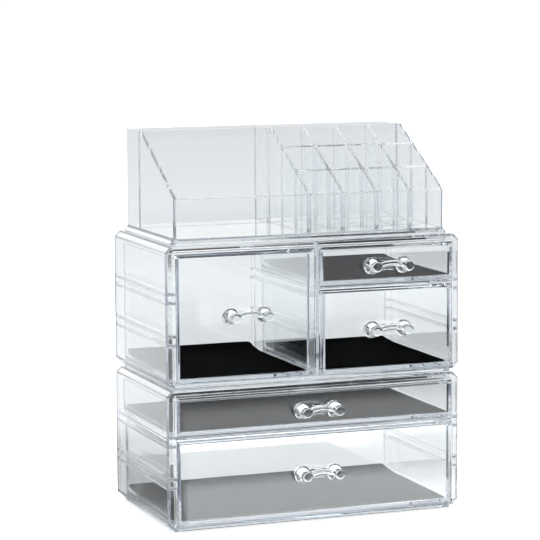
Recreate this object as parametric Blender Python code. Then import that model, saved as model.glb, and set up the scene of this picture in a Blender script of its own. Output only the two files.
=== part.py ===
"""Clear stacking cosmetics organizer: two cabinets with sliding drawers under a tray with sloping sides.

Each cabinet is one thin-walled moulding with a framed mouth. Pairs of thin guide fins run along its side
walls at two levels, so that the same moulding takes one deep drawer, or a shallow drawer over a deeper one.
Every drawer is an open tub joined to a bevelled front plate, with a bridge handle on the plate and a soft mat
on its floor. The upper drawers rest on the fins and the others on the cabinet floor. The tray is celled for
lipsticks on its right side. Lengths are in metres, +X is right, -Y is the front, +Z is up, and the origin is
the centre of the footprint.
"""

import math

import bmesh
import bpy
from mathutils import Vector

# Cabinet moulding
CABINET_WIDTH = 0.2400
CABINET_DEPTH = 0.1350
CABINET_HEIGHT = 0.1080
EDGE_CHAMFER = 0.0045
WALL = 0.0028
FLOOR_THICKNESS = 0.0026
UNDERSIDE_RECESS = 0.0026
FOOT_HEIGHT = 0.0022
FOOT_INSET = 0.0063
FOOT_RIM = 0.0034
STACK_GAP = 0.0003

# Mouth frame of a cabinet
MOUTH_SIDE_INSET = 0.0066
MOUTH_TOP_INSET = 0.0052
MOUTH_SILL_DROP = 0.0006
MOUTH_DEPTH = 0.0060
FRAME_OVERLAP = 0.0006

# Guide fins in pairs, the upper fin of a pair with a level top face that carries a drawer
FIN_INSET = 0.0083
FIN_THICKNESS = 0.0020
FIN_DRAFT = 0.0002
FIN_SPACING = 0.0068
LOW_FIN_TOP = 0.0414
ROW_PITCH = 0.0318

# Partition of the middle cabinet
PARTITION_THICKNESS = 0.0024
PARTITION_FIN_REACH = 0.0052
PARTITION_FRONT_SETBACK = 0.0006
PARTITION_SEAT_GAP = 0.0003

# Drawer front plates
PLATE_THICKNESS = 0.0048
PLATE_FACE_BEVEL = 0.0010
PLATE_REAR_BEVEL = 0.0034
PLATE_RECESS = 0.0004
PLATE_CLEARANCE = 0.0004
PLATE_GAP = 0.0008
PLATE_SPLIT_DROP = 0.0028

# Drawer tubs
TUB_WALL = 0.0018
TUB_FLOOR = 0.0024
TUB_DRAFT = 0.0002
TUB_CORNER_RADIUS = 0.0026
TUB_BOTTOM_EDGE = 0.0003
TUB_RIM_DROP = 0.0044
TUB_REAR_CLEARANCE = 0.0026
TUB_SIDE_CLEARANCE = 0.0003
TUB_SEAT_GAP = 0.0003
TUB_FIN_REST = 0.0012

# Bridge handles
HANDLE_SPACING = 0.0265
HANDLE_REACH = 0.0136
HANDLE_SEAT_GAP = 0.0003
POST_ROOT_RADIUS = 0.0058
POST_TIP_RADIUS = 0.0039
POST_TIP_ROUNDING = 0.0009
FLANGE_THICKNESS = 0.0013
FLANGE_LOBE_RADIUS = 0.0064
FLANGE_WAIST_HALF = 0.0034
BAR_RADIUS = 0.0022
BAR_SETBACK = 0.0036
BAR_ARCH = 0.0026

# Drawer mats
MAT_THICKNESS = 0.0010
MAT_SIDE_GAP = 0.0004
MAT_SEAT_GAP = 0.0003
MAT_FRONT_GAP = 0.0016

# Top tray
TRAY_SIDE_INSET = 0.0098
TRAY_FRONT_INSET = 0.0098
TRAY_REAR_INSET = 0.0055
TRAY_HEIGHT = 0.0798
TRAY_FRONT_WALL_HEIGHT = 0.0335
TRAY_WALL = 0.0022
TRAY_DIVIDER = 0.0020
TRAY_FLOOR = 0.0025
TRAY_CORNER_RADIUS = 0.0045
TRAY_CELL_RADIUS = 0.0016
TRAY_CELL_DRAFT = 0.0003
PLINTH_HEIGHT = 0.0043
PLINTH_LIP = 0.0008
PLINTH_FLARE = 0.0026
PLINTH_RIM = 0.0034
REAR_ROW_DEPTH = 0.0291
SLOPE_TOP_LAND = 0.0030
SLOPE_FOOT = 0.0012
MAIN_DIVIDER_OFFSET = -0.0020
CELL_COLUMNS = 4
CELL_ROWS = 3

# Shared by every cut
OVERRUN = 0.0040

# Smoothness of round forms
CORNER_STEPS = 4
POST_SIDES = 20
BAR_SIDES = 12
BAR_STEPS = 12
WAIST_STEPS = 8
LOBE_STEPS = 10
TIP_STEPS = 3
POST_TAPER_SHARES = (0.0, 0.12, 0.28, 0.48, 0.72, 1.0)
POST_TAPER_POWER = 1.6
BAR_SINK_SHARE = 0.5
PLATE_LAP_SHARE = 0.5
SMOOTH_ANGLE = math.radians(30)

# Heights inside a cabinet, from its underside, and levels that several pieces share
FLOOR_TOP = UNDERSIDE_RECESS + FLOOR_THICKNESS
CEILING = CABINET_HEIGHT - WALL
MOUTH_SILL = FLOOR_TOP - MOUTH_SILL_DROP
MOUTH_HEAD = CABINET_HEIGHT - MOUTH_TOP_INSET
FIN_LEVELS = {"low": LOW_FIN_TOP, "high": LOW_FIN_TOP + ROW_PITCH}
PLATE_SPLIT = FIN_LEVELS["high"] - PLATE_SPLIT_DROP
HALF_WIDTH = CABINET_WIDTH / 2
MOUTH_HALF = HALF_WIDTH - MOUTH_SIDE_INSET
FIN_TIP = HALF_WIDTH - FIN_INSET
INNER_CHAMFER = EDGE_CHAMFER - WALL * (2 - math.sqrt(2))
HANDLE_PROUD = HANDLE_REACH + HANDLE_SEAT_GAP - PLATE_RECESS
FRONT_Y = (HANDLE_PROUD - CABINET_DEPTH) / 2
UNIT_PITCH = CABINET_HEIGHT + STACK_GAP

CLEAR_COLOUR = (0.93, 0.95, 0.96, 1.0)
MAT_COLOUR = (0.02, 0.02, 0.022, 1.0)


def clear_scene():
    """Removes every object of the open scene."""
    for found in list(bpy.data.objects):
        bpy.data.objects.remove(found, do_unlink=True)


def make_material(name, colour, roughness, transmission, ior):
    """A Principled material of one plain colour."""
    material = bpy.data.materials.new(name)
    material.use_nodes = True
    shader = material.node_tree.nodes["Principled BSDF"]
    shader.inputs["Base Color"].default_value = colour
    shader.inputs["Roughness"].default_value = roughness
    shader.inputs["Metallic"].default_value = 0.0
    shader.inputs["Transmission Weight"].default_value = transmission
    shader.inputs["IOR"].default_value = ior
    return material


def clear_plastic(name):
    """Clear polystyrene, glossy and nearly colourless."""
    return make_material(name + "_polystyrene", CLEAR_COLOUR, 0.03, 1.0, 1.59)


def mat_foam(name):
    """Black textured mat."""
    return make_material(name + "_foam", MAT_COLOUR, 0.9, 0.0, 1.45)


def add_empty(name, location, parent=None):
    """An empty that carries the pieces which move together."""
    empty = bpy.data.objects.new(name, None)
    bpy.context.collection.objects.link(empty)
    empty.location = location
    empty.parent = parent
    return empty


def add_mesh(name, bm, parent, material=None, smooth=False):
    """Turns a bmesh into an object with its faces pointing out. Without a material it is a hidden guide."""
    bmesh.ops.recalc_face_normals(bm, faces=bm.faces)
    mesh = bpy.data.meshes.new(name)
    bm.to_mesh(mesh)
    bm.free()
    piece = bpy.data.objects.new(name, mesh)
    bpy.context.collection.objects.link(piece)
    piece.parent = parent
    if smooth:
        mesh.shade_smooth()
        mesh.set_sharp_from_angle(angle=SMOOTH_ANGLE)
    if material is None:
        piece.hide_render = True
        piece.display_type = "WIRE"
    else:
        mesh.materials.append(material)
    return piece


def combine(target, tool, operation):
    """Cuts the tool from the target, or joins it to the target, with an exact Boolean modifier."""
    modifier = target.modifiers.new(operation.lower() + "_" + tool.name, "BOOLEAN")
    modifier.operation = operation
    modifier.solver = "EXACT"
    modifier.object = tool
    return target


def rounded_rectangle(x0, x1, y0, y1, front_radius, rear_radius):
    """Outline of a rectangle with rounded corners, counter-clockwise from its front left corner."""
    corners = (
        (x0, y0, 1, 1, front_radius, 180),
        (x1, y0, -1, 1, front_radius, 270),
        (x1, y1, -1, -1, rear_radius, 0),
        (x0, y1, 1, -1, rear_radius, 90),
    )
    outline = []
    for x, y, inward_x, inward_y, radius, start in corners:
        steps = CORNER_STEPS if radius > 0 else 0
        for step in range(steps + 1):
            angle = math.radians(start + 90 * step / max(steps, 1))
            centre_x, centre_y = x + inward_x * radius, y + inward_y * radius
            outline.append((centre_x + radius * math.cos(angle), centre_y + radius * math.sin(angle)))
    return outline


def add_rings(bm, rings):
    """Bridges closed rings of 3D points one after the other, and caps both ends."""
    loops = [[bm.verts.new(point) for point in ring] for ring in rings]
    for lower, upper in zip(loops, loops[1:]):
        count = len(lower)
        for n in range(count):
            bm.faces.new((lower[n], lower[(n + 1) % count], upper[(n + 1) % count], upper[n]))
    bm.faces.new(list(reversed(loops[0])))
    bm.faces.new(loops[-1])


def level_rings(outlines):
    """Turns pairs of a plan outline and its height into rings of 3D points."""
    return [[(x, y, z) for x, y in outline] for outline, z in outlines]


def add_hull(bm, points):
    """Closes a convex body around the points."""
    verts = [bm.verts.new(point) for point in points]
    made = bmesh.ops.convex_hull(bm, input=verts)
    inner = [v for v in made["geom_interior"] if isinstance(v, bmesh.types.BMVert)]
    bmesh.ops.delete(bm, geom=inner, context="VERTS")
    flat = [e for e in bm.edges if len(e.link_faces) == 2 and e.calc_face_angle(math.pi) < math.radians(0.01)]
    bmesh.ops.dissolve_edges(bm, edges=flat, use_verts=False)


def chamfered_box_points(x0, x1, y0, y1, z0, z1, chamfer):
    """Corner points of a box whose twelve edges are all chamfered alike."""
    points = []
    for x, in_x in ((x0, 1), (x1, -1)):
        for y, in_y in ((y0, 1), (y1, -1)):
            for z, in_z in ((z0, 1), (z1, -1)):
                points.append((x, y + in_y * chamfer, z + in_z * chamfer))
                points.append((x + in_x * chamfer, y, z + in_z * chamfer))
                points.append((x + in_x * chamfer, y + in_y * chamfer, z))
    return points


def box_points(x0, x1, y0, y1, z0, z1):
    """The eight corners of a box."""
    return [(x, y, z) for x in (x0, x1) for y in (y0, y1) for z in (z0, z1)]


def make_fins(name, parent, root_x, tip_x, front_y, rear_y):
    """Guides for the pairs of fins on one side of a wall, level on top and drawn in below to their tips."""
    fins = []
    for level, pair_top in FIN_LEVELS.items():
        for place, top in (("upper", pair_top), ("lower", pair_top - FIN_SPACING)):
            points = []
            for x, bottom in ((root_x, top - FIN_THICKNESS), (tip_x, top - FIN_THICKNESS + FIN_DRAFT)):
                points += [(x, y, z) for y in (front_y, rear_y) for z in (bottom, top)]
            bm = bmesh.new()
            add_hull(bm, points)
            fins.append(add_mesh(name + "_" + level + "_" + place + "_fin_guide", bm, parent))
    return fins


def make_bay_cutter(name, parent):
    """Hollow of a cabinet behind its mouth frame, already slotted where the guide fins stay."""
    side = HALF_WIDTH - WALL
    front, rear = MOUTH_DEPTH - FRAME_OVERLAP, CABINET_DEPTH - WALL
    points = []
    for x, in_x in ((-side, 1), (side, -1)):
        for z, in_z in ((FLOOR_TOP, 1), (CEILING, -1)):
            for y in (front, rear - INNER_CHAMFER):
                points.append((x, y, z + in_z * INNER_CHAMFER))
                points.append((x + in_x * INNER_CHAMFER, y, z))
            points.append((x + in_x * INNER_CHAMFER, rear, z + in_z * INNER_CHAMFER))
    bm = bmesh.new()
    add_hull(bm, points)
    bay = add_mesh(name + "_bay_guide", bm, parent)
    for label, sign in (("_left", -1), ("_right", 1)):
        root, tip = sign * (side + WALL / 2), sign * FIN_TIP
        for fin in make_fins(name + label, parent, root, tip, front / 2, rear + WALL / 2):
            combine(bay, fin, "DIFFERENCE")
    return bay


def make_cabinet(name, parent):
    """One cabinet: a chamfered block on a stepped foot, hollowed from the front and relieved underneath."""
    width, depth, height = (-HALF_WIDTH, HALF_WIDTH), (0, CABINET_DEPTH), (FOOT_HEIGHT, CABINET_HEIGHT)
    bm = bmesh.new()
    add_hull(bm, chamfered_box_points(*width, *depth, *height, EDGE_CHAMFER))
    cabinet = add_mesh(name, bm, parent, clear_plastic(name))

    foot_x = HALF_WIDTH - FOOT_INSET
    foot = rounded_rectangle(-foot_x, foot_x, FOOT_INSET, CABINET_DEPTH - FOOT_INSET, 0, 0)
    bm = bmesh.new()
    add_rings(bm, level_rings(((foot, 0), (foot, FOOT_HEIGHT + FLOOR_THICKNESS / 2))))
    combine(cabinet, add_mesh(name + "_foot_guide", bm, parent), "UNION")

    recess_x, recess_y = foot_x - FOOT_RIM, FOOT_INSET + FOOT_RIM
    recess = rounded_rectangle(-recess_x, recess_x, recess_y, CABINET_DEPTH - recess_y, FOOT_RIM, FOOT_RIM)
    bm = bmesh.new()
    add_rings(bm, level_rings(((recess, -OVERRUN), (recess, UNDERSIDE_RECESS))))
    combine(cabinet, add_mesh(name + "_recess_guide", bm, parent), "DIFFERENCE")

    bm = bmesh.new()
    add_hull(bm, box_points(-MOUTH_HALF, MOUTH_HALF, -OVERRUN, MOUTH_DEPTH, MOUTH_SILL, MOUTH_HEAD))
    combine(cabinet, add_mesh(name + "_mouth_guide", bm, parent), "DIFFERENCE")
    combine(cabinet, make_bay_cutter(name, parent), "DIFFERENCE")
    return cabinet


def make_partition(name, parent):
    """Upright wall of the middle cabinet, stepped to pass the mouth frame, with fins on both sides."""
    half = PARTITION_THICKNESS / 2
    front, rear = PARTITION_FRONT_SETBACK, CABINET_DEPTH - WALL - PARTITION_SEAT_GAP
    bottom, step = FLOOR_TOP + PARTITION_SEAT_GAP, MOUTH_DEPTH + PARTITION_SEAT_GAP
    head, top = MOUTH_HEAD - PARTITION_SEAT_GAP, CEILING - PARTITION_SEAT_GAP
    side_view = (
        (front, bottom),
        (rear - INNER_CHAMFER, bottom),
        (rear, bottom + INNER_CHAMFER),
        (rear, top - INNER_CHAMFER),
        (rear - INNER_CHAMFER, top),
        (step, top),
        (step, head),
        (front, head),
    )
    bm = bmesh.new()
    add_rings(bm, [[(x, y, z) for y, z in side_view] for x in (-half, half)])
    partition = add_mesh(name, bm, parent, clear_plastic(name))
    for label, sign in (("_left", -1), ("_right", 1)):
        root, tip = sign * half / 2, sign * PARTITION_FIN_REACH
        for fin in make_fins(name + label, parent, root, tip, step, rear - half):
            combine(partition, fin, "UNION")
    return partition


def make_plate_guide(name, parent, x0, x1, z0, z1):
    """Drawer front: a slab with a narrow bevel round its face and a deep bevel round its back."""
    face = PLATE_RECESS
    back = face + PLATE_THICKNESS
    bm = bmesh.new()
    points = []
    for y, inset in (
        (face, PLATE_FACE_BEVEL),
        (face + PLATE_FACE_BEVEL, 0),
        (back - PLATE_REAR_BEVEL, 0),
        (back, PLATE_REAR_BEVEL),
    ):
        points += [(x, y, z) for x in (x0 + inset, x1 - inset) for z in (z0 + inset, z1 - inset)]
    add_hull(bm, points)
    return add_mesh(name + "_plate_guide", bm, parent)


class Drawer:
    """One drawer with its handle and mat, carried by an empty that slides."""

    def __init__(self, label, unit, plate_x, plate_z, tub_x, tub_bottom):
        self.label = label
        self.plate_x0, self.plate_x1 = plate_x
        self.plate_z0, self.plate_z1 = plate_z
        self.tub_x0, self.tub_x1 = tub_x
        self.tub_bottom = tub_bottom
        self.rim = self.plate_z1 - TUB_RIM_DROP
        self.tub_rear = CABINET_DEPTH - WALL - TUB_REAR_CLEARANCE
        self.carrier = add_empty("slide_" + label, (0, 0, 0), unit)

    def outline(self, inset, front_y):
        """Plan outline of the tub, drawn in from its rim by the inset."""
        radius = TUB_CORNER_RADIUS
        left, right = self.tub_x0 + inset, self.tub_x1 - inset
        return rounded_rectangle(left, right, front_y, self.tub_rear - inset, 0, radius)

    def make_tub(self):
        """Open tub with drafted walls, joined to the front plate."""
        name = "drawer_" + self.label
        lap = PLATE_RECESS + PLATE_THICKNESS * PLATE_LAP_SHARE
        bottom, rim = self.tub_bottom, self.rim
        bm = bmesh.new()
        rings = (
            (self.outline(TUB_DRAFT + TUB_BOTTOM_EDGE, lap), bottom),
            (self.outline(TUB_DRAFT, lap), bottom + TUB_BOTTOM_EDGE),
            (self.outline(0, lap), rim),
        )
        add_rings(bm, level_rings(rings))
        tub = add_mesh(name, bm, self.carrier, clear_plastic(name))

        floor = bottom + TUB_FLOOR
        slope = TUB_DRAFT / (rim - bottom - TUB_BOTTOM_EDGE)
        rings = (
            (self.outline(TUB_DRAFT + TUB_WALL + TUB_BOTTOM_EDGE, lap - OVERRUN), floor),
            (self.outline(TUB_DRAFT + TUB_WALL, lap - OVERRUN), floor + TUB_BOTTOM_EDGE),
            (self.outline(TUB_WALL - slope * OVERRUN, lap - OVERRUN), rim + OVERRUN),
        )
        bm = bmesh.new()
        add_rings(bm, level_rings(rings))
        combine(tub, add_mesh(name + "_inside_guide", bm, self.carrier), "DIFFERENCE")
        plate_x, plate_z = (self.plate_x0, self.plate_x1), (self.plate_z0, self.plate_z1)
        combine(tub, make_plate_guide(name, self.carrier, *plate_x, *plate_z), "UNION")
        return tub

    def make_mat(self):
        """Thin mat lying on the drawer's floor."""
        inset = TUB_DRAFT + TUB_WALL + TUB_BOTTOM_EDGE + MAT_SIDE_GAP
        front = PLATE_RECESS + PLATE_THICKNESS + MAT_FRONT_GAP
        seat = self.tub_bottom + TUB_FLOOR + MAT_SEAT_GAP
        outline = self.outline(inset, front)
        bm = bmesh.new()
        add_rings(bm, level_rings(((outline, seat), (outline, seat + MAT_THICKNESS))))
        name = "mat_" + self.label
        return add_mesh(name, bm, self.carrier, mat_foam(name))

    def make_handle(self):
        """Bridge handle in the middle of the plate."""
        centre_x = (self.plate_x0 + self.plate_x1) / 2
        centre_z = (self.plate_z0 + self.plate_z1) / 2
        place = (centre_x, PLATE_RECESS - HANDLE_SEAT_GAP, centre_z)
        seat = add_empty("handle_seat_" + self.label, place, self.carrier)
        return make_handle("handle_" + self.label, seat)


def post_profile():
    """Radius of a handle post against its distance from the plate, from inside the flange to its end."""
    start = FLANGE_THICKNESS / 2
    shank = HANDLE_REACH - POST_TIP_ROUNDING - start
    spread = POST_ROOT_RADIUS - POST_TIP_RADIUS
    profile = []
    for share in POST_TAPER_SHARES:
        profile.append((POST_TIP_RADIUS + spread * (1 - share) ** POST_TAPER_POWER, start + shank * share))
    for step in range(1, TIP_STEPS + 1):
        angle = math.radians(90 * step / TIP_STEPS)
        radius = POST_TIP_RADIUS - POST_TIP_ROUNDING * (1 - math.cos(angle))
        profile.append((radius, HANDLE_REACH - POST_TIP_ROUNDING * (1 - math.sin(angle))))
    return profile


def flange_outline():
    """Dog-bone outline of the handle's base, two lobes joined by a drawn-in waist, in X and Z."""
    half = HANDLE_SPACING / 2
    spread = FLANGE_LOBE_RADIUS - FLANGE_WAIST_HALF
    outline = []
    for side in (1, -1):
        for step in range(LOBE_STEPS + 1):
            angle = math.radians(-90 + 180 * step / LOBE_STEPS)
            x, z = half + FLANGE_LOBE_RADIUS * math.cos(angle), FLANGE_LOBE_RADIUS * math.sin(angle)
            outline.append((side * x, side * z))
        for step in range(1, 2 * WAIST_STEPS):
            x = half * (1 - step / WAIST_STEPS)
            height = FLANGE_WAIST_HALF + spread * (1 - math.cos(math.pi * abs(x) / half)) / 2
            outline.append((side * x, side * height))
    return outline


def make_handle(name, seat):
    """Two turned posts on a dog-bone flange, joined near their ends by an arched round bar."""
    outline = flange_outline()
    bm = bmesh.new()
    add_rings(bm, [[(x, y, z) for x, z in outline] for y in (0, -FLANGE_THICKNESS)])
    handle = add_mesh(name, bm, seat, clear_plastic(name), smooth=True)

    half = HANDLE_SPACING / 2
    bm = bmesh.new()
    for centre_x in (-half, half):
        rings = []
        for radius, reach in post_profile():
            turn = [2 * math.pi * n / POST_SIDES for n in range(POST_SIDES)]
            rings.append([(centre_x + radius * math.cos(a), -reach, radius * math.sin(a)) for a in turn])
        add_rings(bm, rings)
    combine(handle, add_mesh(name + "_posts_guide", bm, seat, smooth=True), "UNION")

    sink = POST_TIP_RADIUS * BAR_SINK_SHARE
    run = half - sink
    depth = -(HANDLE_REACH - BAR_SETBACK)
    rings = []
    for step in range(BAR_STEPS + 1):
        x = run * (2 * step / BAR_STEPS - 1)
        phase = math.pi * x / (2 * run)
        centre = Vector((x, depth, BAR_ARCH * math.cos(phase)))
        tangent = Vector((1, 0, -BAR_ARCH * math.sin(phase) * math.pi / (2 * run))).normalized()
        across = Vector((0, 1, 0))
        upward = tangent.cross(across)
        turn = [2 * math.pi * n / BAR_SIDES for n in range(BAR_SIDES)]
        rings.append([centre + BAR_RADIUS * (math.cos(a) * across + math.sin(a) * upward) for a in turn])
    bm = bmesh.new()
    add_rings(bm, rings)
    combine(handle, add_mesh(name + "_bar_guide", bm, seat, smooth=True), "UNION")
    return handle


def tray_cells():
    """Plan of every compartment as x0, x1, y0, y1: open left bay, two rear bays and the lipstick cells."""
    left, right = -HALF_WIDTH + TRAY_SIDE_INSET + TRAY_WALL, HALF_WIDTH - TRAY_SIDE_INSET - TRAY_WALL
    front = TRAY_FRONT_INSET + TRAY_WALL
    rear = CABINET_DEPTH - TRAY_REAR_INSET - TRAY_WALL
    cross_rear = rear - REAR_ROW_DEPTH
    cross_front = cross_rear - TRAY_WALL
    main_left, main_right = MAIN_DIVIDER_OFFSET - TRAY_DIVIDER / 2, MAIN_DIVIDER_OFFSET + TRAY_DIVIDER / 2
    cells = [
        (left, main_left, front, cross_front),
        (left, main_left, cross_rear, rear),
        (main_right, right, cross_rear, rear),
    ]
    cell_width = (right - main_right - (CELL_COLUMNS - 1) * TRAY_DIVIDER) / CELL_COLUMNS
    cell_depth = (cross_front - front - (CELL_ROWS - 1) * TRAY_DIVIDER) / CELL_ROWS
    for row in range(CELL_ROWS):
        for column in range(CELL_COLUMNS):
            x0 = main_right + column * (cell_width + TRAY_DIVIDER)
            y0 = front + row * (cell_depth + TRAY_DIVIDER)
            cells.append((x0, x0 + cell_width, y0, y0 + cell_depth))
    return cells


def make_tray(name, parent):
    """Top tray: a walled block on a flared plinth, cut to its sloping profile and hollowed cell by cell."""
    x = HALF_WIDTH - TRAY_SIDE_INSET
    front, rear = TRAY_FRONT_INSET, CABINET_DEPTH - TRAY_REAR_INSET

    def plan(outset):
        radius = TRAY_CORNER_RADIUS + outset
        return rounded_rectangle(-x - outset, x + outset, front - outset, rear + outset, radius, radius)

    bm = bmesh.new()
    rings = (
        (plan(PLINTH_FLARE), 0),
        (plan(PLINTH_FLARE), PLINTH_LIP),
        (plan(0), PLINTH_HEIGHT),
        (plan(0), TRAY_HEIGHT),
    )
    add_rings(bm, level_rings(rings))
    tray = add_mesh(name, bm, parent, clear_plastic(name))

    bm = bmesh.new()
    recess = plan(PLINTH_FLARE - PLINTH_RIM)
    add_rings(bm, level_rings(((recess, -OVERRUN), (recess, PLINTH_HEIGHT - TRAY_FLOOR))))
    combine(tray, add_mesh(name + "_recess_guide", bm, parent), "DIFFERENCE")

    cells = tray_cells()
    bm = bmesh.new()
    for x0, x1, y0, y1 in cells:
        rings = []
        for inset, z in ((TRAY_CELL_DRAFT, PLINTH_HEIGHT), (0, TRAY_HEIGHT), (0, TRAY_HEIGHT + OVERRUN)):
            radius = TRAY_CELL_RADIUS - inset
            outline = rounded_rectangle(x0 + inset, x1 - inset, y0 + inset, y1 - inset, radius, radius)
            rings.append((outline, z))
        add_rings(bm, level_rings(rings))
    combine(tray, add_mesh(name + "_cells_guide", bm, parent), "DIFFERENCE")

    slope_start = front + SLOPE_FOOT
    slope_end = cells[0][3] - SLOPE_TOP_LAND
    rise = (TRAY_HEIGHT - TRAY_FRONT_WALL_HEIGHT) / (slope_end - slope_start)
    above = OVERRUN * rise
    side_view = (
        (front - PLINTH_FLARE - OVERRUN, TRAY_FRONT_WALL_HEIGHT),
        (slope_start, TRAY_FRONT_WALL_HEIGHT),
        (slope_end + OVERRUN, TRAY_HEIGHT + above),
        (front - PLINTH_FLARE - OVERRUN, TRAY_HEIGHT + above),
    )
    reach = HALF_WIDTH + OVERRUN
    bm = bmesh.new()
    add_rings(bm, [[(side, y, z) for y, z in side_view] for side in (-reach, reach)])
    combine(tray, add_mesh(name + "_slope_guide", bm, parent), "DIFFERENCE")
    return tray


def plate_rows():
    """Lower and upper edges of a full front, an upper front and a lower front."""
    bottom, top = MOUTH_SILL + PLATE_CLEARANCE, MOUTH_HEAD - PLATE_CLEARANCE
    return {
        "full": (bottom, top),
        "upper": (PLATE_SPLIT + PLATE_GAP / 2, top),
        "lower": (bottom, PLATE_SPLIT - PLATE_GAP / 2),
    }


def tub_span(left_tip, right_tip, rests_on_fins):
    """Rim width of a tub between two fin tips: it laps over fins that carry it and clears those it passes."""
    margin = -TUB_FIN_REST if rests_on_fins else TUB_SIDE_CLEARANCE
    return left_tip + margin, right_tip - margin


def add_drawer(label, unit, left, right, row):
    """Adds a drawer between two sides, each given as the edge of its front and the tips of its fins."""
    upper = row == "upper"
    seat = FIN_LEVELS["high"] if upper else FLOOR_TOP
    plate_x = (left[0] + PLATE_CLEARANCE, right[0] - PLATE_CLEARANCE)
    tub_x = tub_span(left[1], right[1], upper)
    drawer = Drawer(label, unit, plate_x, plate_rows()[row], tub_x, seat + TUB_SEAT_GAP)
    drawer.make_tub()
    drawer.make_handle()
    drawer.make_mat()
    return drawer


def build():
    """Builds the base cabinet, the middle cabinet on it and the tray on top."""
    clear_scene()
    base = add_empty("base_unit", (0, FRONT_Y, 0))
    middle = add_empty("middle_unit", (0, FRONT_Y, UNIT_PITCH))
    top = add_empty("tray_unit", (0, FRONT_Y, 2 * UNIT_PITCH))

    left_side, right_side = (-MOUTH_HALF, -FIN_TIP), (MOUTH_HALF, FIN_TIP)
    left_of_middle = (-PARTITION_THICKNESS / 2, -PARTITION_FIN_REACH)
    right_of_middle = (PARTITION_THICKNESS / 2, PARTITION_FIN_REACH)

    make_cabinet("base_cabinet_shell", base)
    add_drawer("base_upper", base, left_side, right_side, "upper")
    add_drawer("base_lower", base, left_side, right_side, "lower")

    make_cabinet("mid_cabinet_shell", middle)
    make_partition("mid_partition", middle)
    add_drawer("mid_left", middle, left_side, left_of_middle, "full")
    add_drawer("mid_right_upper", middle, right_of_middle, right_side, "upper")
    add_drawer("mid_right_lower", middle, right_of_middle, right_side, "lower")

    make_tray("top_tray", top)
    bpy.context.view_layer.update()


build()
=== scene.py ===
"""Looks of a clear stacking cosmetics organizer: two drawer cabinets under an open tray.

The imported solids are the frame. The moulded pieces are dressed from the solids with the small edge radii that
a mould leaves, the handles are remade smooth, and each mat is a thin embossed sheet lying in its drawer.
"""

import logging
import math
from dataclasses import dataclass, field
from enum import Enum

import bmesh
import bpy
import numpy as np
from mathutils import Matrix, Vector


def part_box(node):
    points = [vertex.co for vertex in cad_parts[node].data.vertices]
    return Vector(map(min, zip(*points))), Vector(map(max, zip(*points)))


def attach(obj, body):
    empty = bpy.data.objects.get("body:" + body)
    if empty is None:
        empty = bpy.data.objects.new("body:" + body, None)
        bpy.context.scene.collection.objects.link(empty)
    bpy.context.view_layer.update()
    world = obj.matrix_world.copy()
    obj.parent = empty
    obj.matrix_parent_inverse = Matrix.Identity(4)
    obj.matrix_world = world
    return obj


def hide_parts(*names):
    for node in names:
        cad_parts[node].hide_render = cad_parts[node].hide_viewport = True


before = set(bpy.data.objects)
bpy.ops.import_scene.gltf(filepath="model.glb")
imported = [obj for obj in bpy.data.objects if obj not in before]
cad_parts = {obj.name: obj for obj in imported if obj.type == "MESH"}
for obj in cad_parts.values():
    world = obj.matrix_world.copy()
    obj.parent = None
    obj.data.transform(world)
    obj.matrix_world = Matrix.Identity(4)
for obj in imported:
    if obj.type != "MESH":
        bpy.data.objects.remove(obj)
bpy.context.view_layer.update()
MM = 0.001
TINY = 1e-9
# The Mix node's sockets share their names, so they go by number.
MIX_FLOAT_A, MIX_FLOAT_B = 2, 3
MIX_COLOUR_A, MIX_COLOUR_B, MIX_COLOUR_OUT = 6, 7, 2

logging.basicConfig(level=logging.INFO, format="%(message)s")
log = logging.getLogger("organizer")


class Edge(Enum):
    """How much a mould rounds the edges of a piece, as a radius in metres."""

    CRISP = 0.00018
    SOFT = 0.00035


def srgb_hex(code: str) -> tuple[float, float, float, float]:
    """Turns an sRGB hex colour into the linear colour that a shader reads.

    Args:
        code: colour such as "#F4F8F9".

    Returns:
        Red, green, blue and an alpha of one.
    """
    channels = [int(code[n : n + 2], 16) / 255 for n in (1, 3, 5)]
    linear = [c / 12.92 if c <= 0.04045 else ((c + 0.055) / 1.055) ** 2.4 for c in channels]
    return (linear[0], linear[1], linear[2], 1.0)


def add_node(
    tree: bpy.types.NodeTree, kind: str, settings: dict | None = None, inputs: dict | None = None
) -> bpy.types.Node:
    """Adds a shader node with its settings and links.

    Args:
        tree: the node tree that gets the node.
        kind: the node's type name.
        settings: values by attribute name.
        inputs: a value, or another node's output to link, by input socket name or number.

    Returns:
        The new node.
    """
    node = tree.nodes.new(kind)
    for key, value in (settings or {}).items():
        setattr(node, key, value)
    for key, value in (inputs or {}).items():
        if isinstance(value, bpy.types.NodeSocket):
            tree.links.new(value, node.inputs[key])
        else:
            node.inputs[key].default_value = value
    return node


def calculate(
    tree: bpy.types.NodeTree, operation: str, *operands: float | bpy.types.NodeSocket
) -> bpy.types.NodeSocket:
    """Adds a math node.

    Args:
        tree: the node tree that gets the node.
        operation: the operation's name.
        operands: numbers or outputs of other nodes, in the node's own order.

    Returns:
        The result.
    """
    node = add_node(tree, "ShaderNodeMath", {"operation": operation}, dict(enumerate(operands)))
    return node.outputs["Value"]


def dot_product(
    tree: bpy.types.NodeTree, place: bpy.types.NodeSocket, axis: tuple[float, float, float]
) -> bpy.types.NodeSocket:
    """Adds a node that measures a position along an axis.

    Args:
        tree: the node tree that gets the node.
        place: the position.
        axis: direction of length one.

    Returns:
        How far the position lies along the axis.
    """
    measure = add_node(tree, "ShaderNodeVectorMath", {"operation": "DOT_PRODUCT"}, {0: place, 1: axis})
    return measure.outputs["Value"]


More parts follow.
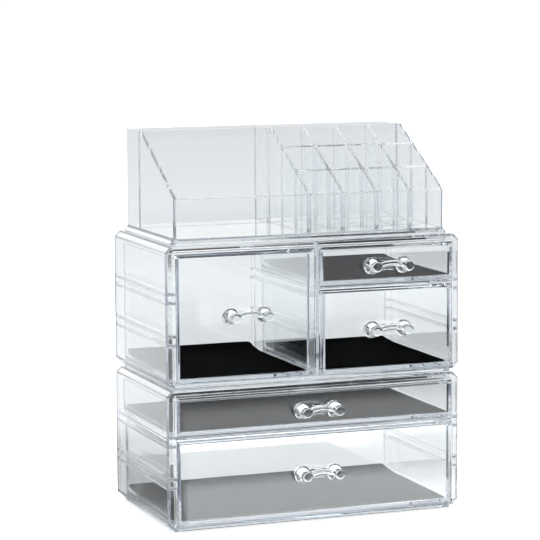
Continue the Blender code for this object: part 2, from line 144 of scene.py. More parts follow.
def mix_colours(
    tree: bpy.types.NodeTree, share: bpy.types.NodeSocket, first: str, second: str
) -> bpy.types.NodeSocket:
    """Mixes two colours.

    Args:
        tree: the node tree that gets the node.
        share: 0 for the first colour, 1 for the second.
        first: sRGB hex colour.
        second: sRGB hex colour.

    Returns:
        The mixed colour.
    """
    colours = {MIX_COLOUR_A: srgb_hex(first), MIX_COLOUR_B: srgb_hex(second)}
    mix = add_node(tree, "ShaderNodeMix", {"data_type": "RGBA"}, {"Factor": share, **colours})
    return mix.outputs[MIX_COLOUR_OUT]


def by_ray(
    tree: bpy.types.NodeTree, bent: bpy.types.NodeSocket, seen: float | bpy.types.NodeSocket
) -> bpy.types.NodeSocket:
    """Gives rays straight from the camera one value, and rays that the plastic bends or mirrors another.

    Args:
        tree: the node tree that gets the nodes.
        bent: value for the bent and mirrored rays.
        seen: value for the straight ones.

    Returns:
        The value for the ray at hand.
    """
    straight = add_node(tree, "ShaderNodeLightPath").outputs["Is Camera Ray"]
    values = {"Factor": straight, MIX_FLOAT_A: bent, MIX_FLOAT_B: seen}
    return add_node(tree, "ShaderNodeMix", {"data_type": "FLOAT"}, values).outputs[0]


@dataclass(frozen=True)
class Ramp:
    """A level that changes from one place to another along a line, and stays level beyond them."""

    start: float
    stop: float
    before: float = 0.0
    after: float = 1.0
    smooth: bool = False

    def add(self, tree: bpy.types.NodeTree, along: bpy.types.NodeSocket) -> bpy.types.NodeSocket:
        """Adds the ramp to a shader.

        Args:
            tree: the node tree that gets it.
            along: the place on the line.

        Returns:
            The level there.
        """
        span = {"From Min": self.start, "From Max": self.stop, "To Min": self.before, "To Max": self.after}
        shape = "SMOOTHSTEP" if self.smooth else "LINEAR"
        span["Value"] = along
        return add_node(tree, "ShaderNodeMapRange", {"interpolation_type": shape}, span).outputs["Result"]


def new_material(name: str) -> bpy.types.Material:
    """Makes a material whose node tree is empty.

    Args:
        name: its name.

    Returns:
        The material.
    """
    material = bpy.data.materials.new(name)
    material.use_nodes = True
    material.node_tree.nodes.clear()
    return material


@dataclass(frozen=True)
class ClearPolystyrene:
    """Injection-moulded clear polystyrene: water-clear walls, cool grey where the eye looks along a wall."""

    name: str
    surface: str = "#FDFEFE"
    core: str = "#C0C9D3"
    core_density: float = 7.0
    ior: float = 1.59
    roughness: float = 0.004
    gloss_spread: float = 0.5
    flow_spacing_mm: float = 38.0
    flow_depth_mm: float = 0.02
    flow_detail: float = 1.0
    flow_roughness: float = 0.4
    flow_low: float = 0.3
    flow_high: float = 0.7

    def build(self) -> bpy.types.Material:
        """Builds the material.

        Returns:
            A glossy transmitting material with faint flow waviness from the mould.
        """
        material = new_material(self.name)
        tree = material.node_tree
        # Polystyrene freezes against the mould with long soft waves, which bend reflections a little.
        pattern = {
            "Vector": add_node(tree, "ShaderNodeTexCoord").outputs["Object"],
            "Scale": 1 / (self.flow_spacing_mm * MM),
            "Detail": self.flow_detail,
            "Roughness": self.flow_roughness,
        }
        flow = add_node(tree, "ShaderNodeTexNoise", inputs=pattern).outputs["Fac"]
        relief = {"Strength": 1.0, "Distance": self.flow_depth_mm * MM, "Height": flow}
        bump = add_node(tree, "ShaderNodeBump", inputs=relief).outputs["Normal"]
        # Handling leaves a slight unevenness of the gloss.
        smoothest, roughest = (self.roughness * (1 + side * self.gloss_spread) for side in (-1, 1))
        gloss = Ramp(self.flow_low, self.flow_high, smoothest, roughest).add(tree, flow)
        skin = {
            "Base Color": srgb_hex(self.surface),
            "IOR": self.ior,
            "Transmission Weight": 1.0,
            "Metallic": 0.0,
            "Normal": bump,
            "Roughness": gloss,
        }
        surface = add_node(tree, "ShaderNodeBsdfPrincipled", inputs=skin).outputs["BSDF"]
        # Light that runs far inside the plastic, from edge to edge, comes out cool grey.
        depth = {"Color": srgb_hex(self.core), "Density": self.core_density}
        volume = add_node(tree, "ShaderNodeVolumeAbsorption", inputs=depth).outputs["Volume"]
        add_node(tree, "ShaderNodeOutputMaterial", inputs={"Surface": surface, "Volume": volume})
        return material


@dataclass(frozen=True)
class EmbossedFoam:
    """Thin black EVA foam with a fine embossed mesh: matt, with cloudy grey wear."""

    name: str
    colour: str = "#141416"
    worn: str = "#26272A"
    wear_mm: float = 14.0
    wear_detail: float = 4.0
    wear_roughness: float = 0.6
    mesh_mm: float = 1.8
    mesh_depth_mm: float = 0.16
    roughness: float = 0.82
    ior: float = 1.5
    specular_level: float = 0.06

    def mesh(self, tree: bpy.types.NodeTree, place: bpy.types.NodeSocket) -> bpy.types.NodeSocket:
        """Adds the embossed square mesh.

        Args:
            tree: the node tree that gets it.
            place: the position on the mat.

        Returns:
            The height of the relief, 0 in the grooves and 1 on the bumps.
        """
        parts = add_node(tree, "ShaderNodeSeparateXYZ", inputs={"Vector": place})
        waves = []
        for axis in ("X", "Y"):
            turn = calculate(tree, "MULTIPLY", parts.outputs[axis], math.pi / (self.mesh_mm * MM))
            waves.append(calculate(tree, "ABSOLUTE", calculate(tree, "SINE", turn)))
        return calculate(tree, "MULTIPLY", *waves)

    def build(self) -> bpy.types.Material:
        """Builds the material.

        Returns:
            A matt material with an embossed square mesh and cloudy wear.
        """
        material = new_material(self.name)
        tree = material.node_tree
        place = add_node(tree, "ShaderNodeTexCoord").outputs["Object"]
        pattern = {
            "Vector": place,
            "Scale": 1 / (self.wear_mm * MM),
            "Detail": self.wear_detail,
            "Roughness": self.wear_roughness,
        }
        wear = add_node(tree, "ShaderNodeTexNoise", inputs=pattern).outputs["Fac"]
        relief = {"Strength": 1.0, "Distance": self.mesh_depth_mm * MM, "Height": self.mesh(tree, place)}
        skin = {
            "Base Color": mix_colours(tree, wear, self.colour, self.worn),
            "Normal": add_node(tree, "ShaderNodeBump", inputs=relief).outputs["Normal"],
            "Roughness": self.roughness,
            "IOR": self.ior,
            "Specular IOR Level": self.specular_level,
        }
        surface = add_node(tree, "ShaderNodeBsdfPrincipled", inputs=skin).outputs["BSDF"]
        add_node(tree, "ShaderNodeOutputMaterial", inputs={"Surface": surface})
        return material


@dataclass(frozen=True)
class PaintedGlowBoard:
    """Matt sanded white board with a painted glow, though it holds no lamp: white and even, so contact shadows
    stay soft.

    The camera sees a plain white board. What the plastic bends or mirrors to the eye is painted light and
    shade. A painted strip of lamp glow in front of the object lights the fronts low down, a weaker painted glow
    under the object and behind it fills the walls, and painted black shade past that strip and at the object's
    left keeps mats black and edges grey.
    Lengths in metres from the middle of the object, with the front at negative Y.
    """

    name: str
    toward: tuple[float, float, float]
    colour: str = "#FAFAFA"
    fleck: str = "#F5F5F5"
    fleck_mm: float = 60.0
    fleck_detail: float = 2.0
    roughness: float = 0.9
    glow: str = "#F9FDFF"
    painted_shade: str = "#101010"
    # Brightness for the camera's own view, by the distance from the middle.
    seen: Ramp = Ramp(0.12, 0.60, 0.70, 1.1, smooth=True)
    # The painted lamp glow along Y, and its strip, which slants towards the camera.
    painted_lamp_glow_begin: Ramp = Ramp(-0.05, -0.075, 0.0, 3.3, smooth=True)
    painted_lamp_glow_dim: Ramp = Ramp(-0.19, -0.24, 1.0, 0.32)
    painted_lamp_glow_end: Ramp = Ramp(-0.50, -0.58, 1.0, 0.0)
    painted_lamp_glow_half: float = 0.125
    painted_lamp_glow_spill: float = 0.30
    strip_slant: float = 0.405
    strip_spread: float = 0.072
    # The weaker painted glow: away from the camera behind the object, and along Y under it.
    behind: Ramp = Ramp(-0.2, -0.6, 0.14, 0.24, smooth=True)
    beneath: Ramp = Ramp(0.076, 0.02, 0.0, 0.58)
    beneath_half: float = 0.076
    # The painted black shade along Y, in a strip like the painted lamp glow's, and the painted shade patch at
    # the object's left.
    painted_shade_begin: Ramp = Ramp(-0.50, -0.64)
    painted_shade_end: Ramp = Ramp(-1.20, -0.95)
    painted_shade_half: float = 0.17
    patch_end: Ramp = Ramp(0.40, 0.30, 0.0, 0.72)
    patch_middle: float = -0.18
    patch_half: float = 0.055

    def strip(
        self, tree: bpy.types.NodeTree, x: bpy.types.NodeSocket, y: bpy.types.NodeSocket, half: float
    ) -> bpy.types.NodeSocket:
        """Marks a strip of board that runs from the object towards the camera and widens on its way.

        Args:
            tree: the node tree that gets the nodes.
            x: position to the right.
            y: position to the rear.
            half: half of the strip's width at the object's middle.

        Returns:
            1 in the strip and 0 beside it.
        """
        offset = calculate(tree, "ABSOLUTE", calculate(tree, "MULTIPLY_ADD", y, self.strip_slant, x))
        width = calculate(tree, "MULTIPLY_ADD", y, -self.strip_spread, half)
        return calculate(tree, "LESS_THAN", offset, width)

    def zones(
        self,
        tree: bpy.types.NodeTree,
        place: bpy.types.NodeSocket,
        x: bpy.types.NodeSocket,
        y: bpy.types.NodeSocket,
    ) -> bpy.types.NodeSocket:
        """Adds the painted lit zones that the plastic bends or mirrors to the eye.

        Args:
            tree: the node tree that gets the nodes.
            place: position on the board.
            x: position to the right.
            y: position to the rear.

        Returns:
            The painted glow's brightness there.
        """
        # Painted lamp glow: a bright slanted strip of board, shown only through the plastic, with no lamp
        # there.
        fall = calculate(tree, "MULTIPLY", self.painted_lamp_glow_dim.add(tree, y), self.painted_lamp_glow_end.add(tree, y))
        along = calculate(tree, "MULTIPLY", self.painted_lamp_glow_begin.add(tree, y), fall)
        strip = self.strip(tree, x, y, self.painted_lamp_glow_half)
        across = calculate(tree, "MULTIPLY_ADD", strip, 1 - self.painted_lamp_glow_spill, self.painted_lamp_glow_spill)
        painted_lamp_glow = calculate(tree, "MULTIPLY", along, across)
        # Painted glow under the object and behind it, shown only through the plastic.
        ahead = dot_product(tree, place, self.toward)
        below = calculate(tree, "COMPARE", y, 0.0, self.beneath_half)
        foot = calculate(tree, "MULTIPLY", below, self.beneath.add(tree, y))
        around = calculate(tree, "MAXIMUM", foot, self.behind.add(tree, ahead))
        return calculate(tree, "MAXIMUM", painted_lamp_glow, around)

    def painted_shade_cover(
        self, tree: bpy.types.NodeTree, x: bpy.types.NodeSocket, y: bpy.types.NodeSocket
    ) -> bpy.types.NodeSocket:
        """Marks where painted black shade lies on the board: past the painted lamp glow, and in a patch at the
        object's left.

        Args:
            tree: the node tree that gets the nodes.
            x: position to the right.
            y: position to the rear.

        Returns:
            How far the painted shade covers the board there, from 0 to 1.
        """
        # Painted black shade: dark board shown only through the plastic, past the painted lamp glow and at the
        # left.
        strip = self.strip(tree, x, y, self.painted_shade_half)
        begun = calculate(tree, "MULTIPLY", strip, self.painted_shade_begin.add(tree, y))
        painted_shade = calculate(tree, "MULTIPLY", begun, self.painted_shade_end.add(tree, y))
        left = calculate(tree, "COMPARE", x, self.patch_middle, self.patch_half)
        patch = calculate(tree, "MULTIPLY", left, self.patch_end.add(tree, y))
        return calculate(tree, "MAXIMUM", painted_shade, patch)

    def build(self) -> bpy.types.Material:
        """Builds the material.

        Returns:
            A matt white material with painted glow and painted black shade, and a hardly visible mottle.
        """
        material = new_material(self.name)
        tree = material.node_tree
        place = add_node(tree, "ShaderNodeTexCoord").outputs["Object"]
        parts = add_node(tree, "ShaderNodeSeparateXYZ", inputs={"Vector": place})
        x, y = parts.outputs["X"], parts.outputs["Y"]
        pattern = {"Vector": place, "Scale": 1 / (self.fleck_mm * MM), "Detail": self.fleck_detail}
        mottle = add_node(tree, "ShaderNodeTexNoise", inputs=pattern).outputs["Fac"]
        tone = mix_colours(tree, mottle, self.colour, self.fleck)
        skin = {"Base Color": tone, "Roughness": self.roughness}
        surface = add_node(tree, "ShaderNodeBsdfPrincipled", inputs=skin).outputs["BSDF"]
        distance = add_node(tree, "ShaderNodeVectorMath", {"operation": "LENGTH"}, {0: place})
        seen = self.seen.add(tree, distance.outputs["Value"])
        # Painted glow: bent and mirrored rays see the painted lit zones, and the camera sees the plain
        # brightness.
        strength = by_ray(tree, self.zones(tree, place, x, y), seen)
        light = {"Color": srgb_hex(self.glow), "Strength": strength}
        glow = add_node(tree, "ShaderNodeEmission", inputs=light).outputs["Emission"]
        board = add_node(tree, "ShaderNodeAddShader", inputs={0: surface, 1: glow}).outputs["Shader"]
        # Painted black shade: a black diffuse layer that only the bent and mirrored rays see.
        painted_shade = add_node(tree, "ShaderNodeBsdfDiffuse", inputs={"Color": srgb_hex(self.painted_shade)})
        share = by_ray(tree, self.painted_shade_cover(tree, x, y), 0.0)
        layers = {0: share, 1: board, 2: painted_shade.outputs["BSDF"]}
        laid = add_node(tree, "ShaderNodeMixShader", inputs=layers).outputs["Shader"]
        add_node(tree, "ShaderNodeOutputMaterial", inputs={"Surface": laid})
        return material


def link_object(name: str, data: bpy.types.ID) -> bpy.types.Object:
    """Makes an object for a mesh, light or camera and puts it in the scene.

    Args:
        name: its name.
        data: what it shows.

    Returns:
        The object.
    """
    thing = bpy.data.objects.new(name, data)
    bpy.context.scene.collection.objects.link(thing)
    return thing


def dress(piece: bpy.types.Object, material: bpy.types.Material) -> None:
    """Gives a piece one material and nothing else."""
    piece.data.materials.clear()
    piece.data.materials.append(material)


def round_edges(piece: bpy.types.Object, name: str, radius: float, angle: float, segments: int = 2) -> None:
    """Rounds the sharper edges of a piece with a modifier.

    Args:
        piece: the piece.
        name: the modifier's name.
        radius: how wide the rounding is.
        angle: edges that turn by more than this are rounded, in radians.
        segments: how many faces the rounding has across.
    """
    rounding = piece.modifiers.new(name, "BEVEL")
    rounding.width = radius
    rounding.segments = segments
    rounding.limit_method = "ANGLE"
    rounding.angle_limit = angle


@dataclass
class Moulding:
    """A rigid moulded piece, remade from its solid with the radii of its mould. Metres and radians."""

    node: str
    body: str
    finish: ClearPolystyrene
    edge: Edge = Edge.SOFT
    rounded_angle: float = math.radians(25)
    crease_angle: float = math.radians(40)
    flat_angle: float = math.radians(0.5)
    weld: float = 0.000002
    face_weight: int = 100

    def clean_mesh(self) -> bpy.types.Mesh:
        """Copies the solid's mesh and joins its triangles into flat faces.

        Returns:
            A new closed mesh.
        """
        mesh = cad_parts[self.node].data.copy()
        mesh.name = "moulded_" + self.node
        bm = bmesh.new()
        bm.from_mesh(mesh)
        bmesh.ops.remove_doubles(bm, verts=bm.verts, dist=self.weld)
        bmesh.ops.dissolve_limit(bm, angle_limit=self.flat_angle, verts=bm.verts, edges=bm.edges)
        bm.to_mesh(mesh)
        bm.free()
        return mesh

    def build(self) -> bpy.types.Object:
        """Builds the piece and lets it stand for its solid.

        Returns:
            The finished object.
        """
        piece = link_object("clear_" + self.node, self.clean_mesh())
        dress(piece, self.finish.build())
        piece.data.shade_smooth()
        piece.data.set_sharp_from_angle(angle=self.crease_angle)
        round_edges(piece, "mould_radius", self.edge.value, self.rounded_angle)
        # A moulded wall is dead flat up to its rounded edge, so the largest face sets the shading there.
        flatness = piece.modifiers.new("flat_walls", "WEIGHTED_NORMAL")
        flatness.mode = "FACE_AREA"
        flatness.weight = self.face_weight
        flatness.keep_sharp = True
        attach(piece, self.body)
        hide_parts(self.node)
        log.info("moulding %s", piece.name)
        return piece


@dataclass
class BridgeHandle:
    """Two turned posts on a dog-bone flange, joined by an arched bar. Lengths in metres.

    The shape is a signed distance. An even net of quads near it is drawn onto the surface where the distance
    is zero, so that the forms melt into each other with small fillets.
    """

    spacing: float = 0.0265
    reach: float = 0.0136
    root_radius: float = 0.0058
    tip_radius: float = 0.0039
    tip_rounding: float = 0.0018
    taper_power: float = 1.6
    flange_thickness: float = 0.0013
    flange_rounding: float = 0.0008
    lobe_radius: float = 0.0064
    waist_half: float = 0.0034
    bar_radius: float = 0.0022
    bar_setback: float = 0.0036
    bar_arch: float = 0.0026
    bar_fillet: float = 0.0010
    bar_pieces: int = 10
    foot_fillet: float = 0.0014
    seat_edge: float = 0.0003
    cell: float = 0.0004
    rod_sides: int = 32
    probe: float = 0.000002
    passes: int = 12
    least_slope: float = 0.05
    mesh: bpy.types.Mesh | None = field(default=None, repr=False)

    @staticmethod
    def join(a: np.ndarray, b: np.ndarray, fillet: float) -> np.ndarray:
        """Signed distance of two forms melted together.

        Args:
            a: distances to the first form.
            b: distances to the second form.
            fillet: how far apart the surfaces start to melt.

        Returns:
            Distances to the joined form.
        """
        share = np.clip(0.5 + 0.5 * (b - a) / fillet, 0, 1)
        return b + (a - b) * share - fillet * share * (1 - share)

    def trim(self, a: np.ndarray, b: np.ndarray, rounding: float) -> np.ndarray:
        """Signed distance of what two forms share, with a rounded edge."""
        return -self.join(-a, -b, rounding)

    def post(self, x: np.ndarray, out: np.ndarray, z: np.ndarray, centre: float) -> np.ndarray:
        """Signed distance of one turned post with a concave taper and a flat end.

        Args:
            x: positions along the handle.
            out: distances from the drawer's front.
            z: heights.
            centre: the post's place along the handle.

        Returns:
            Distances to the post.
        """
        climb = np.clip((out - self.flange_thickness) / (self.reach - self.flange_thickness), 0, 1)
        radius = self.tip_radius + (self.root_radius - self.tip_radius) * (1 - climb) ** self.taper_power
        return self.trim(np.hypot(x - centre, z) - radius, out - self.reach, self.tip_rounding)

    def flange(self, x: np.ndarray, out: np.ndarray, z: np.ndarray) -> np.ndarray:
        """Signed distance of the dog-bone base.

        Args:
            x: positions along the handle.
            out: distances from the drawer's front.
            z: heights.

        Returns:
            Distances to the base.
        """
        half = self.spacing / 2
        spread = self.lobe_radius - self.waist_half
        along = np.abs(x)
        lobe = np.hypot(along - half, z) - self.lobe_radius
        widening = spread * (1 - np.cos(math.pi * np.minimum(along, half) / half)) / 2
        waist = np.abs(z) - self.waist_half - widening
        plan = np.where(along < half, np.minimum(lobe, waist), lobe)
        return self.trim(plan, out - self.flange_thickness, self.flange_rounding)

    def bar(self, x: np.ndarray, out: np.ndarray, z: np.ndarray) -> np.ndarray:
        """Signed distance of the arched round bar.

        Args:
            x: positions along the handle.
            out: distances from the drawer's front.
            z: heights.

        Returns:
            Distances to the bar.
        """
        run = self.spacing / 2
        phase = math.pi * np.clip(x, -run, run) / (2 * run)
        slope = self.bar_arch * np.sin(phase) * math.pi / (2 * run)
        rise = (z - self.bar_arch * np.cos(phase)) / np.sqrt(1 + slope * slope)
        beyond = np.maximum(np.abs(x) - run, 0)
        depth = out - (self.reach - self.bar_setback)
        return np.sqrt(rise * rise + depth * depth + beyond * beyond) - self.bar_radius

    def skin(self, points: np.ndarray) -> np.ndarray:
        """Signed distance of the whole handle.

        Args:
            points: one row of x, y and z for each point.

        Returns:
            Distances, below zero inside.
        """
        x, out, z = points[:, 0], -points[:, 1], points[:, 2]
        half = self.spacing / 2
        posts = np.minimum(self.post(x, out, z, -half), self.post(x, out, z, half))
        upper = self.join(posts, self.bar(x, out, z), self.bar_fillet)
        whole = self.join(upper, self.flange(x, out, z), self.foot_fillet)
        return self.trim(whole, -out, self.seat_edge)

    def slope(self, points: np.ndarray) -> np.ndarray:
        """Gradient of the skin's distance.

        Args:
            points: one row of x, y and z for each point.

        Returns:
            One row for each point.
        """
        columns = []
        for axis in range(3):
            shift = np.zeros(3)
            shift[axis] = self.probe
            columns.append((self.skin(points + shift) - self.skin(points - shift)) / (2 * self.probe))
        return np.stack(columns, axis=1)

    def rod(self, bm: bmesh.types.BMesh, start: Vector, end: Vector, radii: tuple[float, float]) -> None:
        """Adds a straight closed rod.

        Args:
            bm: the mesh that gets it.
            start: the middle of its first end.
            end: the middle of its second end.
            radii: its radius at each end.
        """
        along = end - start
        place = Matrix.Translation((start + end) / 2) @ along.to_track_quat("Z", "Y").to_matrix().to_4x4()
        sizes = {"radius1": radii[0], "radius2": radii[1], "depth": along.length}
        bmesh.ops.create_cone(bm, cap_ends=True, segments=self.rod_sides, matrix=place, **sizes)

    def rough_mesh(self) -> bpy.types.Mesh:
        """Makes an even net of quads near the skin, from plain rods and a slab.

        Returns:
            The net, which still has to be drawn onto the skin.
        """
        bm = bmesh.new()
        half = self.spacing / 2
        for x in (-half, half):
            foot, rim, tip = (Vector((x, -out, 0)) for out in (0, self.flange_thickness, self.reach))
            self.rod(bm, foot, tip, (self.root_radius, self.tip_radius))
            self.rod(bm, foot, rim, (self.lobe_radius, self.lobe_radius))
        arch = []
        for n in range(self.bar_pieces + 1):
            x = half * (2 * n / self.bar_pieces - 1)
            rise = self.bar_arch * math.cos(math.pi * x / self.spacing)
            arch.append(Vector((x, self.bar_setback - self.reach, rise)))
        for begin, finish in zip(arch, arch[1:]):
            self.rod(bm, begin, finish, (self.bar_radius, self.bar_radius))
        slab = Matrix.Translation((0, -self.flange_thickness / 2, 0)) @ Matrix.Diagonal(
            (self.spacing, self.flange_thickness, 2 * self.waist_half, 1)
        )
        bmesh.ops.create_cube(bm, size=1.0, matrix=slab)
        mesh = bpy.data.meshes.new("handle_net")
        bm.to_mesh(mesh)
        bm.free()
        draft = link_object("handle_draft", mesh)
        fuse = draft.modifiers.new("fuse", "REMESH")
        fuse.mode = "VOXEL"
        fuse.voxel_size = self.cell
        bpy.context.view_layer.update()
        net = bpy.data.meshes.new_from_object(draft.evaluated_get(bpy.context.evaluated_depsgraph_get()))
        bpy.data.objects.remove(draft)
        net.name = "bridge_handle"
        return net

    def build_mesh(self) -> bpy.types.Mesh:
        """Draws the net onto the skin.

        Returns:
            The mesh, at the handle's own origin on the plate.
        """
        mesh = self.rough_mesh()
        count = len(mesh.vertices)
        flat = np.empty(count * 3)
        mesh.vertices.foreach_get("co", flat)
        points = flat.reshape(count, 3)
        for _ in range(self.passes):
            slope = self.slope(points)
            length = np.maximum((slope * slope).sum(axis=1), self.least_slope)
            move = -(self.skin(points) / length)[:, None] * slope
            reach = np.sqrt((move * move).sum(axis=1))[:, None]
            points = points + move * np.minimum(1, self.cell / np.maximum(reach, TINY))
        mesh.vertices.foreach_set("co", points.ravel())
        slope = self.slope(points)
        normals = slope / np.maximum(np.sqrt((slope * slope).sum(axis=1)), TINY)[:, None]
        mesh.update()
        mesh.shade_smooth()
        mesh.normals_split_custom_set_from_vertices(normals.tolist())
        return mesh

    def build(self, label: str, body: str, finish: ClearPolystyrene) -> bpy.types.Object:
        """Seats one handle where its solid is.

        Args:
            label: the drawer that carries it.
            body: the body that it rides on.
            finish: the plastic.

        Returns:
            The finished object.
        """
        if self.mesh is None:
            self.mesh = self.build_mesh()
            self.mesh.materials.append(finish.build())
        node = "handle_" + label
        low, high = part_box(node)
        piece = link_object("bridge_" + label, self.mesh)
        piece.location = ((low.x + high.x) / 2, high.y, (low.z + high.z) / 2)
        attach(piece, body)
        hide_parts(node)
        log.info("handle %s", piece.name)
        return piece


@dataclass
class DrawerMat:
    """A thin mat cut to the drawer's floor, curled up a little at the rear and the sides.

    Lengths in metres, and angles in radians.
    """

    label: str
    body: str
    finish: EmbossedFoam
    curl: float
    curl_run: float = 0.020
    side_share: float = 0.6
    cell: float = 0.004
    corner: float = 0.0026
    wave: float = 0.00012
    wave_length: float = 0.045
    wave_shift: float = 1.0
    rim_radius: float = 0.0003
    rim_angle: float = math.radians(40)

    def lift(self, x: float, y: float, width: float, depth: float) -> float:
        """Height that the sheet stands off the floor, from having lain rolled up.

        Args:
            x: distance from the mat's left edge.
            y: distance from its front edge.
            width: the mat's width.
            depth: the mat's depth.

        Returns:
            The height of the curl and of the faint waves there.
        """
        rear = max(0.0, 1 - (depth - y) / self.curl_run)
        side = max(0.0, 1 - min(x, width - x) / self.curl_run) * min(1.0, y / depth)
        across, along = (2 * math.pi * place / self.wave_length for place in (x, y))
        wave = self.wave * (math.sin(across) * math.sin(along + self.wave_shift) + 1) / 2
        return wave + self.curl * max(rear**2, self.side_share * side**2 * rear**0.5)

    def plan_point(self, u: float, v: float, width: float, depth: float) -> tuple[float, float]:
        """Plan position of a grid point, drawn round at the two rear corners.

        Args:
            u: share of the width.
            v: share of the depth.
            width: the mat's width.
            depth: the mat's depth.

        Returns:
            Position from the mat's front left corner.
        """
        x, y = u * width, v * depth
        edge = min(x, width - x)
        if depth - y < self.corner and edge < self.corner:
            a, b = 1 - edge / self.corner, 1 - (depth - y) / self.corner
            round_a = a * math.sqrt(1 - b * b / 2)
            round_b = b * math.sqrt(1 - a * a / 2)
            edge = self.corner * (1 - round_a)
            y = depth - self.corner * (1 - round_b)
            x = edge if x < width / 2 else width - edge
        return x, y

    def sheet_mesh(self, low: Vector, high: Vector) -> bpy.types.Mesh:
        """Makes the sheet from a top and a bottom net, closed round the rim.

        Args:
            low: lowest corner of the flat mat.
            high: highest corner of the flat mat.

        Returns:
            A closed mesh.
        """
        width, depth, thick = high.x - low.x, high.y - low.y, high.z - low.z
        columns, rows = math.ceil(width / self.cell), math.ceil(depth / self.cell)
        bm = bmesh.new()
        layers = []
        for level in (0.0, thick):
            layer = []
            for j in range(rows + 1):
                row = []
                for i in range(columns + 1):
                    x, y = self.plan_point(i / columns, j / rows, width, depth)
                    up = level + self.lift(x, y, width, depth)
                    row.append(bm.verts.new((low.x + x, low.y + y, low.z + up)))
                layer.append(row)
            layers.append(layer)
        bottom, top = layers
        for j in range(rows):
            for i in range(columns):
                bm.faces.new((top[j][i], top[j][i + 1], top[j + 1][i + 1], top[j + 1][i]))
                bm.faces.new((bottom[j][i], bottom[j + 1][i], bottom[j + 1][i + 1], bottom[j][i + 1]))
        rim = [(0, i) for i in range(columns)] + [(j, columns) for j in range(rows)]
        rim += [(rows, i) for i in range(columns, 0, -1)] + [(j, 0) for j in range(rows, 0, -1)]
        for k, (j, i) in enumerate(rim):
            n, m = rim[(k + 1) % len(rim)]
            bm.faces.new((bottom[j][i], bottom[n][m], top[n][m], top[j][i]))
        bmesh.ops.recalc_face_normals(bm, faces=bm.faces)
        mesh = bpy.data.meshes.new("mat_sheet_" + self.label)
        bm.to_mesh(mesh)
        bm.free()
        mesh.shade_smooth()
        return mesh

    def build(self) -> bpy.types.Object:
        """Builds the mat and lets it stand for its solid.

        Returns:
            The finished object.
        """
        node = "mat_" + self.label
        low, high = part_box(node)
        piece = link_object("lining_" + self.label, self.sheet_mesh(low, high))
        dress(piece, self.finish.build())
        round_edges(piece, "rim_radius", self.rim_radius, self.rim_angle)
        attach(piece, self.body)
        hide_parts(node)
        log.info("mat %s", piece.name)
        return piece


@dataclass
class DrawerUnit:
    """A drawer's moulding with its handle and its mat, whose rear edge curls up by curl, in metres."""

    label: str
    finish: ClearPolystyrene
    lining: EmbossedFoam
    handle: BridgeHandle
    curl: float

    def build(self) -> None:
        """Builds the three pieces on the drawer's body."""
        body = "drawer_unit_" + self.label
        Moulding("drawer_" + self.label, body, self.finish).build()
        self.handle.build(self.label, body, self.finish)
        DrawerMat(self.label, body, self.lining, self.curl).build()


@dataclass(frozen=True)
class Softbox:
    """A square softbox that looks at the object. Lengths in metres, power in watts."""

    name: str
    place: tuple[float, float, float]
    size: float
    watts: float
    aim: tuple[float, float, float] = (0.0, 0.0, 0.15)

    def build(self) -> bpy.types.Object:
        """Hangs the softbox.

        Returns:
            The light.
        """
        data = bpy.data.lights.new(self.name, "AREA")
        data.shape = "SQUARE"
        data.size = self.size
        data.energy = self.watts
        light = link_object(self.name, data)
        light.location = self.place
        light.rotation_euler = (Vector(self.aim) - Vector(self.place)).to_track_quat("-Z", "Y").to_euler()
        return light


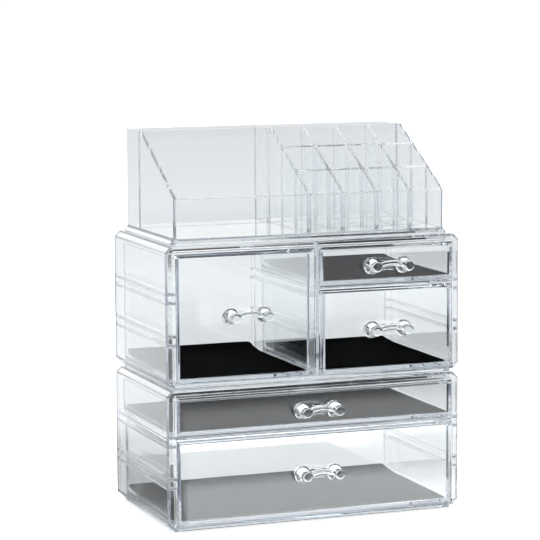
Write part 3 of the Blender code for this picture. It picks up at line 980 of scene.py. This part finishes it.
@dataclass
class Studio:
    """White board, soft lights, the room and the camera. Lengths in metres, angles in degrees."""

    eye: tuple[float, float, float] = (-0.6711, -1.71725, 0.4176)
    yaw: float = 20.901
    pitch: float = 7.131
    roll: float = 0.265
    focal_pixels: float = 2380.6
    picture_pixels: float = 540.0
    sensor_mm: float = 36.0
    near: float = 0.05
    far: float = 60.0
    board_size: float = 9.0
    board_gap: float = 0.0002
    backdrop: float = 1.1
    horizon: float = 1.20
    ceiling: Ramp = Ramp(0.25, 0.60, 1.0, 0.69, smooth=True)
    behind_camera: Ramp = Ramp(0.10, 0.60, 1.0, 0.22, smooth=True)
    beside: Ramp = Ramp(0.75, 0.92, 1.0, 0.40, smooth=True)
    card_colour: str = "#AEBACF"
    wall_colour: str = "#FFFFFF"
    softboxes: tuple[Softbox, ...] = (
        Softbox("key_softbox", (-1.4, -1.2, 2.0), 1.4, 12.0),
        Softbox("top_softbox", (0.3, 0.4, 2.3), 1.8, 14.0),
    )
    bounces: int = 96
    clear_bounces: int = 40
    brightest_bounce: float = 6.0

    def toward(self) -> Vector:
        """Level direction from the object to the camera."""
        return Vector((self.eye[0], self.eye[1], 0)).normalized()

    def camera(self) -> bpy.types.Object:
        """Places the camera at the photograph's angle.

        Returns:
            The camera object.
        """
        data = bpy.data.cameras.new("camera")
        data.sensor_width = self.sensor_mm
        data.lens = self.focal_pixels / self.picture_pixels * self.sensor_mm
        data.clip_start, data.clip_end = self.near, self.far
        camera = link_object("camera", data)
        yaw, pitch, roll = (math.radians(angle) for angle in (self.yaw, self.pitch, self.roll))
        turn = Matrix.Rotation(-yaw, 4, "Z") @ Matrix.Rotation(math.pi / 2 - pitch, 4, "X")
        camera.matrix_world = Matrix.Translation(self.eye) @ turn @ Matrix.Rotation(-roll, 4, "Z")
        bpy.context.scene.camera = camera
        return camera

    def floor(self) -> bpy.types.Object:
        """Lays the white board under the object.

        Returns:
            The floor, which isn't part of the object.
        """
        half = self.board_size / 2
        corners = [(-half, -half, 0), (half, -half, 0), (half, half, 0), (-half, half, 0)]
        mesh = bpy.data.meshes.new("sweep")
        mesh.from_pydata(corners, [], [tuple(range(len(corners)))])
        floor = link_object("sweep", mesh)
        floor.location = (0, 0, -self.board_gap)
        dress(floor, PaintedGlowBoard("white_board_painted_glow_and_shade", tuple(self.toward())).build())
        return floor

    def surroundings(self) -> None:
        """Lights the room: white behind the object, a grey ceiling, and dark cards round the camera.

        Clear plastic shows only what it bends or mirrors to the eye, so the cards draw its dark edges.
        """
        world = bpy.data.worlds.new("studio")
        bpy.context.scene.world = world
        world.use_nodes = True
        tree = world.node_tree
        tree.nodes.clear()
        place = add_node(tree, "ShaderNodeTexCoord").outputs["Generated"]
        toward = self.toward()
        facing, across = (
            dot_product(tree, place, axis) for axis in (tuple(toward), (-toward.y, toward.x, 0.0))
        )
        height = add_node(tree, "ShaderNodeSeparateXYZ", inputs={"Vector": place}).outputs["Z"]
        level = self.ceiling.add(tree, height)
        level = calculate(tree, "MULTIPLY", level, self.behind_camera.add(tree, facing))
        sideways = calculate(tree, "ABSOLUTE", across)
        level = calculate(tree, "MULTIPLY", level, self.beside.add(tree, sideways))
        strength = by_ray(tree, calculate(tree, "MULTIPLY", level, self.horizon), self.backdrop)
        tint = mix_colours(tree, strength, self.card_colour, self.wall_colour)
        room = add_node(tree, "ShaderNodeBackground", inputs={"Color": tint, "Strength": strength})
        add_node(tree, "ShaderNodeOutputWorld", inputs={"Surface": room.outputs["Background"]})

    def light_paths(self) -> None:
        """Lets light pass the many walls that stand behind each other."""
        paths = bpy.context.scene.cycles
        paths.max_bounces = self.bounces
        paths.transmission_bounces = self.bounces
        paths.glossy_bounces = self.bounces
        paths.transparent_max_bounces = self.clear_bounces
        paths.sample_clamp_indirect = self.brightest_bounce
        bpy.context.scene.view_settings.view_transform = "Standard"

    def build(self) -> None:
        """Sets up camera, floor, room and lights."""
        self.camera()
        self.floor()
        self.surroundings()
        for softbox in self.softboxes:
            softbox.build()
        self.light_paths()
        log.info("studio ready")


# How far each drawer's mat curls up at the rear, in metres.
MAT_CURLS = {
    "base_upper": 0.0,
    "base_lower": 0.0033,
    "mid_left": 0.0046,
    "mid_right_upper": 0.0025,
    "mid_right_lower": 0.0025,
}


def main() -> None:
    """Builds the studio and every sub-assembly in order."""
    Studio().build()
    plastic = ClearPolystyrene("injection_moulded_clear_polystyrene")
    foam = EmbossedFoam("embossed_black_eva_foam")
    handle = BridgeHandle()
    Moulding("base_cabinet_shell", "base_cabinet", plastic).build()
    Moulding("mid_cabinet_shell", "mid_cabinet", plastic).build()
    Moulding("mid_partition", "mid_cabinet", plastic).build()
    for label, curl in MAT_CURLS.items():
        DrawerUnit(label, plastic, foam, handle, curl).build()
    Moulding("top_tray", "tray", plastic, Edge.CRISP).build()


if __name__ == "__main__":
    main()
